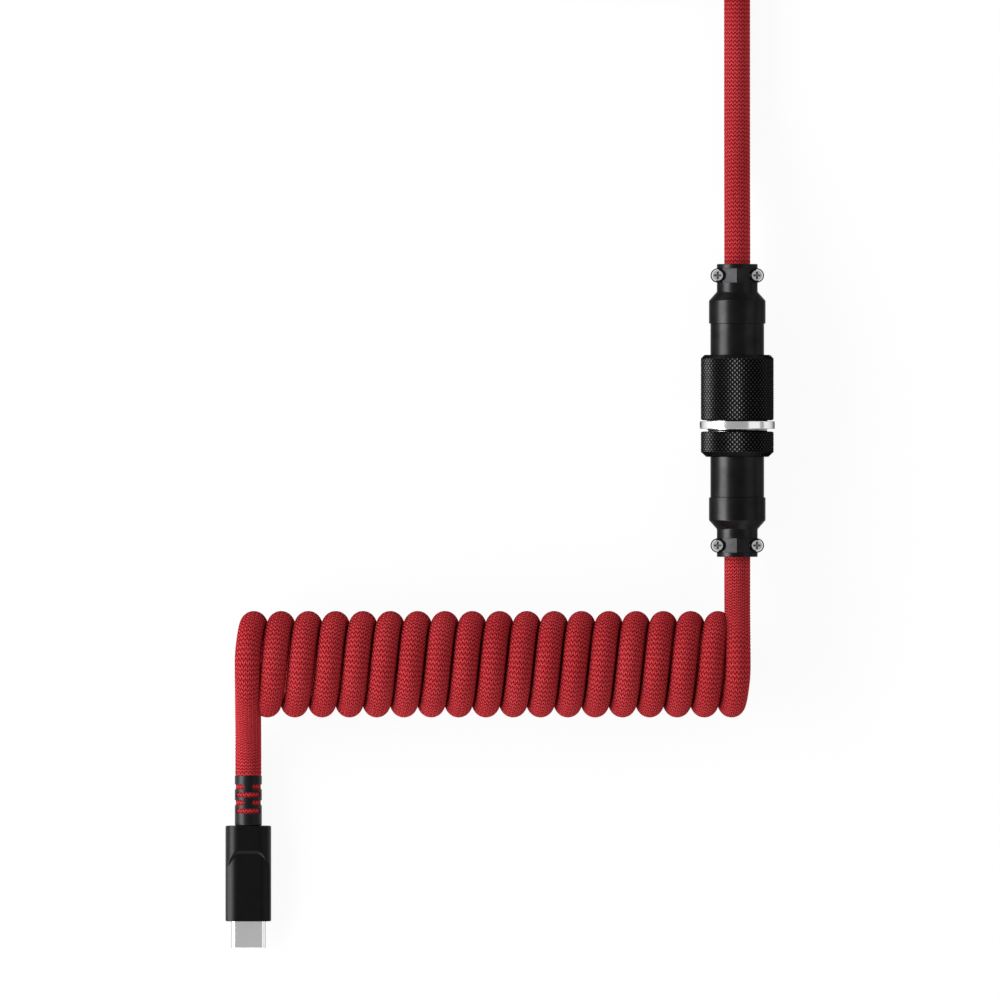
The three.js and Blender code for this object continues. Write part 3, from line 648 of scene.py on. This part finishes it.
# The coiled cord: in the connector, over the coil's top, eighteen turns, and over its top into the plug.
EASE = 0.5
sweep = COIL_TURNS * TAU
pitch = (CONNECTOR_X - PLUG_X) * TAU / (sweep - EASE)
theta = np.linspace(0, sweep, COIL_TURNS * 120)
eased = np.where(
    theta < EASE,
    theta**2 / (2 * EASE),
    np.where(theta > sweep - EASE, sweep - EASE - (sweep - theta) ** 2 / (2 * EASE), theta - EASE / 2),
)
helix = np.stack(
    [
        PLUG_X + pitch * eased / TAU,
        COIL_Y + COIL_R * np.sin(theta),
        COIL_Z + COIL_R * np.cos(theta),
    ],
    axis=1,
)
plug_tail = [(PLUG_X, y, z) for y, z in TAIL_TO_PLUG] + [(PLUG_X, -47.0, 3.25), (PLUG_X, -50.6, 3.25)]
connector_tail = [(CONNECTOR_X, y, z) for y, z in TAIL_TO_CONNECTOR] + [(CONNECTOR_X, 18.2, 9.0)]
plug_line = smooth_route(plug_tail)[::-1]
connector_line = smooth_route(connector_tail)
coiled_line = np.concatenate([plug_line, helix[1:-1], connector_line])
along_helix = 1 - (eased / (sweep - EASE))[1:-1]
follow = np.concatenate([np.ones(len(plug_line)), along_helix, np.zeros(len(connector_line))])
device_path, device_travelled, (device_follow,) = resampled(coiled_line, RING_STEP, follow)
device_radii = thinned(-device_path[:, 1], 40.5)
device_cord = plaited_tube("device_cord", device_path, device_travelled, device_radii)

# The straight cord: out of the connector, down to the floor and round the storage coil to the USB-A plug.
TURN_OUT = math.radians(630)
TIE_ANGLE = math.pi
TIE_REACH = math.radians(50)
TIE_RADII = (36.65, 30.35, 30.35, 36.65)


def store_point(turn):
    """A point of the storage coil: two turns inwards, two outwards on top, a quarter down the outside."""
    if turn <= 2 * TAU:
        r, z = STORE_R - STORE_STEP * turn / TAU, LAYER_Z[0]
    elif turn <= 4 * TAU:
        a = turn - 2 * TAU
        up = min(1.0, a / (math.pi / 2))
        z = LAYER_Z[0] + (LAYER_Z[1] - LAYER_Z[0]) * up * up * (3 - 2 * up)
        r = STORE_R - 2 * STORE_STEP * (1 - max(0.0, a - math.pi / 2) / TURN_OUT)
    else:
        a = min(1.0, (turn - 4 * TAU) / (math.pi / 2))
        b = a * a * (3 - 2 * a) * math.pi / 2
        beside = STORE_R - STORE_STEP * a / 4
        r = beside + (6.6 + 1.525 * a) * math.sin(b)
        z = LAYER_Z[0] + (LAYER_Z[1] - LAYER_Z[0]) * math.cos(b)
    off = abs((turn % TAU) - TIE_ANGLE)
    if off < TIE_REACH and turn < 4 * TAU:
        draw = 0.5 + 0.5 * math.cos(math.pi * off / TIE_REACH)
        number = int(turn // TAU)
        r += (TIE_RADII[number] - r) * draw
        z += (4.0 - LAYER_Z[0] if number < 2 else 10.0 - LAYER_Z[1]) * draw
    return STORE[0] + r * math.cos(turn), STORE[1] + r * math.sin(turn), z


turns = np.linspace(0, 4 * TAU + math.pi / 2, 1500)
store_line = np.array([store_point(t) for t in turns])
host_start = [(CONNECTOR_X, 76.0, 9.0), *HOST_ROUTE]
usb_a_run = [(x, USB_A_Y, z) for x, z in USB_A_RUN]
host_line = np.concatenate([smooth_route(host_start), store_line[1:-1], smooth_route(usb_a_run)])
host_path, host_travelled, _ = resampled(host_line, RING_STEP)
in_boot = np.where(host_path[:, 1] < USB_A_Y - 2, 0.0, 100.0 - host_path[:, 0])
host_radii = thinned(in_boot, 93.2)
host_cord = plaited_tube("host_cord_braided", host_path, host_travelled, host_radii)

for made in (device_cord, host_cord):
    made.data.materials.append(BRAID)
    made.data.shade_smooth()
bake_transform(device_cord)
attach(host_cord, "host_half")
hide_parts("device_coil", "device_tail_to_connector", "device_tail_to_plug")
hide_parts("host_cord", "host_storage_coil", "host_cord_end")


# ---------------------------------------------------------------- connector: clamps and back shells
def back_shell(half, end, inwards, body):
    """A turned shell with half of its neck cut away, and a saddle plate for the clamp bar's ears."""

    def y(t):
        return end + inwards * t

    hull = turned(
        f"{half}_shell_turned",
        [
            (CORD_BORE_R, y(0)),
            (NECK_R, y(0)),
            (NECK_R, y(BACK_SHELL["neck"])),
            (COLLAR_R, y(BACK_SHELL["cone"])),
            (COLLAR_R, y(BACK_SHELL["length"] + COLLAR_LAP)),
            (COLLAR_BORE_R, y(BACK_SHELL["length"] + COLLAR_LAP)),
            (COLLAR_BORE_R, y(BACK_SHELL["cone"] + 1)),
            (CORD_BORE_R, y(BACK_SHELL["neck"])),
        ],
        fillet=0.22,
    )
    low, high = sorted((y(BACK_SHELL["flange"]), y(BACK_SHELL["saddle"])))
    middle = (low + high) / 2
    x, z = CONNECTOR_X, CONNECTOR_R
    bottom, top = z + SADDLE_BOTTOM_Z, z + SADDLE_TOP_Z
    cordway_profile = [(CORD_BORE_R, y(-1)), (CORD_BORE_R, y(BACK_SHELL["neck"]))]
    cordway = turned("cut", cordway_profile, fillet=0, hollow=False)
    steps = [
        ("DIFFERENCE", block("cut", (x - 10, low, z), (x + 10, high, z + 10))),
        ("UNION", block("plate", (x - EAR_X, low, bottom), (x + EAR_X, high, top))),
    ]
    for side in (-1, 1):
        steps.append(("UNION", upright_bar("ear", circle(x + side * EAR_X, middle, EAR_R), bottom, top)))
    steps.append(("DIFFERENCE", cordway))
    for side in (-1, 1):
        hole = circle(x + side * EAR_X, middle, SCREW_HOLE_R, 24)
        steps.append(("DIFFERENCE", upright_bar("hole", hole, z - 4, z + 1)))
    return finished(carved(hull, *steps), "black_metal", body, f"{half}_back_shell")


def clamp_bar(half, end, inwards, body):
    """A roof-shaped bar over the cord, with a round ear on each side, hollowed round the screw heads."""
    near = end + inwards * (BACK_SHELL["flange"] + BAR_PLAY)
    far = end + inwards * (BACK_SHELL["saddle"] - BAR_PLAY)
    low, high = sorted((near, far))
    middle = (low + high) / 2
    x, z = CONNECTOR_X, CONNECTOR_R
    outline = [
        (-EAR_X, EAR_BOTTOM_Z), (EAR_X, EAR_BOTTOM_Z), (EAR_X, EAR_TOP_Z), (3.6, EAR_TOP_Z + 0.02),
        (0, RIDGE_Z), (-3.6, EAR_TOP_Z + 0.02), (-EAR_X, EAR_TOP_Z),
    ]
    eased = filleted(outline, 0.18)
    rings = [[(x + px, y, z + pz) for px, pz in eased] for y in (low, high)]
    arch = raw_object(f"{half}_clamp_arch", *joined_rings(rings, False))
    steps = []
    ears = [(x + side * EAR_X, middle) for side in (-1, 1)]
    for place in ears:
        ear = upright_bar("ear", circle(*place, EAR_R), z + EAR_BOTTOM_Z, z + EAR_TOP_Z)
        steps.append(("UNION", ear))
    for place in ears:
        seat = upright_bar("seat", circle(*place, HEAD_R + 0.12), z + EAR_TOP_Z, z + 6)
        steps.append(("DIFFERENCE", seat))
        steps.append(("DIFFERENCE", upright_bar("hole", circle(*place, SCREW_HOLE_R, 24), z - 1, z + 3)))
    bore = turned("bore", [(BAR_BORE_R, low - 1), (BAR_BORE_R, high + 1)], fillet=0, hollow=False)
    steps.append(("DIFFERENCE", bore))
    return finished(carved(arch, *steps), "black_metal", body, f"{half}_clamp_bar")


def clamp_screw(half, word, side, end, inwards, body):
    """A pan-head screw, upright, with a tapered cross recess."""
    x = CONNECTOR_X + side * EAR_X
    y = end + inwards * (BACK_SHELL["flange"] + BACK_SHELL["saddle"]) / 2
    z = CONNECTOR_R
    head_top = HEAD_Z + HEAD_HEIGHT
    profile = [
        (SCREW_R, SCREW_TIP_Z), (SCREW_R, HEAD_Z), (HEAD_R, HEAD_Z), (HEAD_R, HEAD_Z + 0.45),
        (1.22, head_top),
    ]
    angles = np.linspace(0, TAU, 64, False)
    rings = [
        [(x + r * math.cos(a), y + r * math.sin(a), z + h) for a in angles]
        for r, h in filleted(profile, 0.35, closed=False, steps=5)
    ]
    screw = raw_object(f"{half}_screw_{word}", *joined_rings(rings, False))
    top = z + HEAD_Z + HEAD_HEIGHT
    wide, narrow, deep = 0.9, 0.24, 0.6
    square = ((-1, -1), (1, -1), (1, 1), (-1, 1))
    steps = []
    for a, b in ((wide, narrow), (narrow, wide)):
        slot = [
            [(x + sx * a * k, y + sy * b * k, h) for sx, sy in square]
            for k, h in ((1.0, top + 0.3), (1.0, top), (0.45, top - deep))
        ]
        steps.append(("DIFFERENCE", raw_object("recess", *joined_rings(slot, False))))
    made = finished(carved(screw, *steps), "nickel", body, f"{half}_clamp_screw_{word}")
    # painted shade: the faces inside the cross recess take the darker nickel
    made.data.materials.append(NICKEL_PAINTED_SHADE)
    for face in made.data.polygons:
        off = Vector((face.center.x - x * MM, face.center.y - y * MM)).length
        if off < 1.0 * MM and (z + HEAD_Z) * MM < face.center.z < (top - 0.02) * MM:
            face.material_index = 1
    return made


def cable_clamp(half, end, inwards, body):
    back_shell(half, end, inwards, body)
    clamp_bar(half, end, inwards, body)
    for side, word in ((-1, "left"), (1, "right")):
        clamp_screw(half, word, side, end, inwards, body)


cable_clamp("host", station(0), -1, "host_half")
cable_clamp("device", station(CONNECTOR_LENGTH), 1, "device_half")

# ---------------------------------------------------------------- connector: barrels, nut, socket, ring
def along_connector(profile):
    """A profile whose places are given from the connector's host end."""
    return [(r, station(s)) for r, s in profile]


HOST_BARREL = [
    (BORE_R, 10.3), (SPIGOT_R, 10.3), (SPIGOT_R, 14.1), (BARREL_R, 14.1),
    (BARREL_R, SHOULDER[0]), (SHOULDER_R, SHOULDER[0]), (SHOULDER_R, SHOULDER[1]), (SLEEVE_R, SHOULDER[1]),
    (SLEEVE_R, SLEEVE_END), (BORE_R, SLEEVE_END),
]
DEVICE_BARREL = [
    (BORE_R, 44.9), (7.35, 44.9), (7.35, 45.6), (BARREL_R, 45.6),
    (BARREL_R, 56.2), (SPIGOT_R, 56.2), (SPIGOT_R, 60.0), (BORE_R, 60.0),
]
WASHER = [(6.75, 24.8), (7.45, 24.8), (7.45, 25.4), (6.75, 25.4)]

host_barrel = turned("host_barrel_turned", along_connector(HOST_BARREL), fillet=0.05)
finished(host_barrel, "black_metal", "host_half", "host_barrel")
device_barrel = turned("device_barrel_turned", along_connector(DEVICE_BARREL), fillet=0.05)
finished(device_barrel, "black_metal", "device_half", "device_barrel")
washer = turned("thrust_washer", along_connector(WASHER))
finished(washer, "steel", "nut_washer", "nut_thrust_washer")

KNURLS = 50
KNURL_DEPTH = 0.25


def knurled(name, radius, start, end, rows, rest):
    """A ring with diamond knurling between two stations; rest is the remainder of its closed profile,
    from the end station round to the start station. Its UV map holds the height of the knurl."""
    count = 2 * KNURLS
    rings = []
    for j in range(rows + 1):
        y = station(start + (end - start) * j / rows)
        ring = []
        for m in range(count):
            inner = (m + j) % 2 == 0
            r = radius - KNURL_DEPTH if inner else radius
            a = TAU * m / count
            ring.append((CONNECTOR_X + r * math.cos(a), y, CONNECTOR_R + r * math.sin(a)))
        rings.append(ring)
    valley = radius - KNURL_DEPTH
    profile = [(valley, station(end)), *along_connector(rest), (valley, station(start))]
    for r, y in filleted(profile, 0.2, closed=False)[1:-1]:
        rings.append(round_ring(r, y, CONNECTOR_X, CONNECTOR_R, count))
    points = [p for ring in rings for p in ring]
    faces = []
    for j in range(len(rings)):
        a, b = j * count, ((j + 1) % len(rings)) * count
        for m in range(count):
            n = (m + 1) % count
            if j >= rows:
                faces.append((a + m, a + n, b + n, b + m))
            elif (m + j) % 2 == 0:
                faces.append((a + m, a + n, b + n))
                faces.append((a + m, b + n, b + m))
            else:
                faces.append((a + m, a + n, b + m))
                faces.append((a + n, b + n, b + m))
    made = raw_object(name, points, faces)
    # the knurl height, 0 in the valleys and 1 on the points, steers the knurled metal's painted shade and
    # highlight
    grid = np.arange((rows + 1) * count)
    height = (grid // count + grid % count) % 2
    layer = made.data.uv_layers.new(name="knurl")
    for face in made.data.polygons:
        in_knurl = max(face.vertices) < len(grid)
        for corner in face.loop_indices:
            painted_knurl_light = height[made.data.loops[corner].vertex_index] if in_knurl else 0.5
            layer.data[corner].uv = (painted_knurl_light, painted_knurl_light)
    return made


nut = knurled(
    "coupling_nut_knurled", KNURL_R, 22.75, 37.3, 26,
    [
        (8.5, 37.4), (8.4, NUT_END), (NUT_BORE_R, NUT_END), (NUT_BORE_R, NUT_LIP_END),
        (LIP_BORE_R, NUT_LIP_END), (LIP_BORE_R, NUT_START), (7.95, NUT_START),
    ],
)
finished(nut, "black_metal", "nut", "coupling_nut", crease=20)
nut.data.materials[0] = KNURLED_METAL
ring = knurled(
    "lock_ring_knurled", KNURL_R, 40.4, 45.05, 8,
    [
        (7.5, RING_END), (LIP_BORE_R, RING_END), (LIP_BORE_R, RING_LIP),
        (NUT_BORE_R, RING_LIP), (NUT_BORE_R, RING_START), (8.35, RING_START),
    ],
)
finished(ring, "black_metal", "ring", "lock_ring", crease=20)
ring.data.materials[0] = KNURLED_METAL


def socket_body():
    """The nickel socket: a threaded sleeve, its flange, and threads again under the lock ring."""
    count = 96
    rings = []

    def plain(r, s):
        rings.append(round_ring(r, station(s), CONNECTOR_X, CONNECTOR_R, count))

    def threads(start, end, crest=7.4, depth=0.28, thread_pitch=1.0):
        for s in np.arange(start, end, 0.125):
            ring = []
            for i in range(count):
                phase = (s / thread_pitch + i / count) % 1.0
                fade = min(1.0, (s - start) / 0.4, (end - s) / 0.2)
                r = crest - depth * fade * (0.5 - 0.5 * math.cos(TAU * phase))
                a = TAU * i / count
                ring.append((CONNECTOR_X + r * math.cos(a), station(s), CONNECTOR_R + r * math.sin(a)))
            rings.append(ring)

    front, back = SILVER
    plain(SOCKET_BORE_R, SOCKET_START)
    plain(6.95, SOCKET_START)
    plain(7.1, SOCKET_START + 0.15)
    plain(7.1, 32.5)
    threads(32.8, front - 0.05)
    plain(7.4, front)
    flange = [(7.4, front), (CONNECTOR_R, front), (CONNECTOR_R, back), (7.4, back)]
    for r, s in filleted(flange, 0.16, closed=False, steps=4)[1:-1]:
        plain(r, s)
    plain(7.3, back)
    threads(back + 0.05, SOCKET_END - 0.1, crest=7.25)
    plain(7.4, SOCKET_END - 0.05)
    plain(7.35, SOCKET_END)
    plain(BORE_R, SOCKET_END)
    plain(BORE_R, SOCKET_LEDGE)
    plain(SOCKET_BORE_R, SOCKET_LEDGE)
    made = raw_object("socket_threaded", *joined_rings(rings, True))
    finished(made, "nickel", "device_half", "socket_body", crease=35)
    # painted shade: every face off the flange, threads included, takes the darker nickel
    made.data.materials.append(NICKEL_PAINTED_SHADE)
    for face in made.data.polygons:
        if not station(back + 0.01) < face.center.y / MM < station(front - 0.01):
            face.material_index = 1


socket_body()

# ---------------------------------------------------------------- connector: contacts
TUBE = [(0.9, 21.5), (0.9, 34.6), (0.65, 34.6), (0.65, 29.9)]
PIN = [(0.12, 30.2), (0.45, 30.7), (0.45, 43.6)]
for i in range(CONTACTS):
    a = math.pi / 2 + TAU * i / CONTACTS
    x0 = CONNECTOR_X + CONTACT_CIRCLE_R * math.cos(a)
    z0 = CONNECTOR_R + CONTACT_CIRCLE_R * math.sin(a)
    tube = turned(f"host_tube_{i + 1}", along_connector(TUBE), x0, z0, 24, fillet=0.1, hollow=False)
    finished(tube, "gold", "host_half", f"host_contact_{i + 1}")
    pin = turned(f"device_pin_{i + 1}_turned", along_connector(PIN), x0, z0, 24, fillet=0.2, hollow=False)
    finished(pin, "gold", "device_half", f"device_pin_{i + 1}")


# ---------------------------------------------------------------- plugs
def onto(made, plug):
    """Moves a plug's piece, made about the Y axis, onto the cable."""
    if plug == "c":
        made.data.transform(Matrix.Translation((PLUG_X * MM, 0, USB_C_Z * MM)))
    else:
        turn = Matrix.Rotation(-math.pi / 2, 4, "Z")
        made.data.transform(Matrix.Translation((0, USB_A_Y * MM, USB_A_Z * MM)) @ turn)
    return made


def slotted_boot(name, radius, start, length, plug):
    """A strain relief with rows of slots, each row turned a quarter from the one before."""
    outer = [
        (BOOT_BORE_R, 0), (radius, 0), (radius, -length),
        (2.4, -length), (2.4, -length + 1.5), (BOOT_BORE_R, -length + 1.6),
    ]
    boot = turned(name, [(r, start + y) for r, y in outer], x0=0, z0=0, count=80, fillet=0.25)

    def slot_outline(near, far, y):
        half = SLOT["width"] / 2
        corners = [(near, y - half), (far, y - half), (far, y + half), (near, y + half)]
        return filleted(corners, 0.5)

    steps = []
    for number, t in enumerate(SLOT["rows"]):
        y = start - t
        for side in (-1, 1):
            if number % 2 == 0:
                outline = [(side * px, py) for px, py in slot_outline(SLOT["side_bridge"], radius + 1, y)]
                steps.append(("DIFFERENCE", upright_bar("slot", outline, -radius - 1, radius + 1)))
            else:
                reach = SLOT["top_share"] * radius
                z0, z1 = sorted((side * SLOT["top_bridge"], side * (radius + 1)))
                steps.append(("DIFFERENCE", upright_bar("slot", slot_outline(-reach, reach, y), z0, z1)))
    return onto(carved(boot, *steps), plug)


def grip(name, size, start, mouth, recess, plug):
    """A moulded grip with rounded ends and a thumb rest sunk into its top behind an arched step."""
    width, height, corner, length = size
    count = 144
    rings = []

    def section(shrink, t, sunk=False):
        ring = []
        for x, z in rect_ring(width - 2 * shrink, height - 2 * shrink, corner - shrink, count):
            if sunk and z > 0:
                side = max(0.0, abs(x) / recess["foot"] - 0.48) / 0.52
                edge = recess["start"] + recess["arch"] * side**2
                depth = max(0.0, min(1.0, (t - edge) / recess["slope"]))
                depth = depth * depth * (3 - 2 * depth)
                past_flat = max(0.0, abs(x) - recess["flat"])
                panel = height / 2 - recess["depth"] - recess["round"] * past_flat**2
                if z > panel:
                    z -= (z - panel) * depth
            ring.append((x, start - t, z))
        rings.append(ring)

    def hole(shape, t):
        rings.append([(x, start - t, z) for x, z in rect_ring(*shape, count)])

    bore = (5.2, 5.2, 2.6)
    hole(bore, MOUTH_DEPTH)
    hole(bore, 0.0)
    section(0.35, 0.0)
    section(0.1, 0.1)
    section(0.0, 0.35)
    arch_from = recess["start"] - 0.3
    arch_to = recess["start"] + recess["arch"] + recess["slope"] + 0.6
    step = 0.12
    over_arch = [arch_from, *np.arange(arch_from + step, arch_to, step)]
    for t in (*over_arch, *np.linspace(arch_to, length - 0.3, 14)):
        section(0.0, t, sunk=True)
    section(0.08, length - 0.08, sunk=True)
    section(0.3, length, sunk=True)
    hole(mouth, length)
    hole(mouth, length - MOUTH_DEPTH)
    return onto(raw_object(name, *joined_rings(rings, False)), plug)


def stamped(name, size, tip, back, plug):
    """A stamped metal shell, open at its tip, with rolled edges."""
    width, height, corner, wall = size
    count = 96
    rings = []

    def ring(shrink, y):
        section = rect_ring(width - 2 * shrink, height - 2 * shrink, corner - shrink, count)
        rings.append([(x, y, z) for x, z in section])

    ring(0.0, back)
    ring(0.0, tip + 0.35)
    ring(0.06, tip + 0.1)
    ring(0.15, tip)
    ring(wall - 0.05, tip)
    ring(wall, tip + 0.1)
    ring(wall, back)
    return onto(raw_object(name, *joined_rings(rings, True)), plug)


usb_c_boot = slotted_boot("usb_c_boot_slotted", 3.25, -40.72, 11.99, "c")
finished(usb_c_boot, "black_rubber", "plug_end", "usb_c_boot")
usb_c_grip = grip("usb_c_grip", USB_C_GRIP, -52.72, USB_C_MOUTH, USB_C_RECESS, "c")
finished(usb_c_grip, "black_plastic", "plug_end", "usb_c_overmold", crease=40)
usb_c_shell = stamped("usb_c_shell_stamped", USB_C_SHELL, -HALF_LENGTH, -69.0, "c")
finished(usb_c_shell, "steel", "plug_end", "usb_c_shell")

# The USB-A plug's own y is the cable's x.
usb_a_boot = slotted_boot("usb_a_boot_slotted", 3.5, 6.95, 13.99, "a")
finished(usb_a_boot, "black_rubber", "host_half", "usb_a_boot")
usb_a_grip = grip("usb_a_grip", USB_A_GRIP, -7.05, USB_A_MOUTH, USB_A_RECESS, "a")
finished(usb_a_grip, "black_plastic", "host_half", "usb_a_overmold", crease=40)


def coil_tie():
    """A strap of webbing round the storage coil."""
    count = 96
    width, height, corner = TIE["bore"]
    reach = TIE["width"] / 2
    thick = TIE["thickness"]
    rings = []
    for grow, y in ((0, -reach), (thick, -reach), (thick, reach), (0, reach)):
        section = rect_ring(width + 2 * grow, height + 2 * grow, corner + grow, count)
        rings.append([(x + TIE["x"], STORE[1] + y, z + TIE["z"]) for x, z in section])
    strap = raw_object("tie_strap", *joined_rings(rings, True))
    finished(strap, "webbing", "host_half", "coil_tie", crease=40)


coil_tie()

# ---------------------------------------------------------------- pieces that keep their CAD shape
KEPT = {
    "insulator": ["host_insert", "device_insert", "usb_c_contact_carrier", "usb_a_tongue"],
    "copper": ["host_conductors", "device_conductors"],
    "gold": ["usb_c_contacts_upper", "usb_c_contacts_lower", *(f"usb_a_contact_{i + 1}" for i in range(4))],
    "circuit_board": ["usb_c_circuit_board"],
    "steel": ["usb_c_crimp", "usb_a_crimp", "usb_a_shell"],
}
for finish, names in KEPT.items():
    for name in names:
        piece = bpy.data.objects[name]
        piece.data.materials.clear()
        piece.data.materials.append(FINISHES[finish])

# ---------------------------------------------------------------- floor
FLOOR_HALF = 3.0
FLOOR_Z = -0.00005
corners = [(FLOOR_HALF * x, FLOOR_HALF * y, FLOOR_Z) for x, y in ((-1, -1), (1, -1), (1, 1), (-1, 1))]
floor_mesh = bpy.data.meshes.new("floor")
floor_mesh.from_pydata(corners, [], [(0, 1, 2, 3)])
floor = bpy.data.objects.new("floor", floor_mesh)
bpy.context.collection.objects.link(floor)
pale = Shader("floor", (0.93, 0.93, 0.93), 0.9, Specular_IOR_Level=0.1)
pale.color(pale.noise(3.0), [(0.3, (0.078, 0.078, 0.078)), (0.7, (0.084, 0.084, 0.084))])
pale.surface.inputs["Emission Color"].default_value = (1.0, 1.0, 1.0, 1.0)
pale.surface.inputs["Emission Strength"].default_value = 0.92
floor_mesh.materials.append(pale.material)
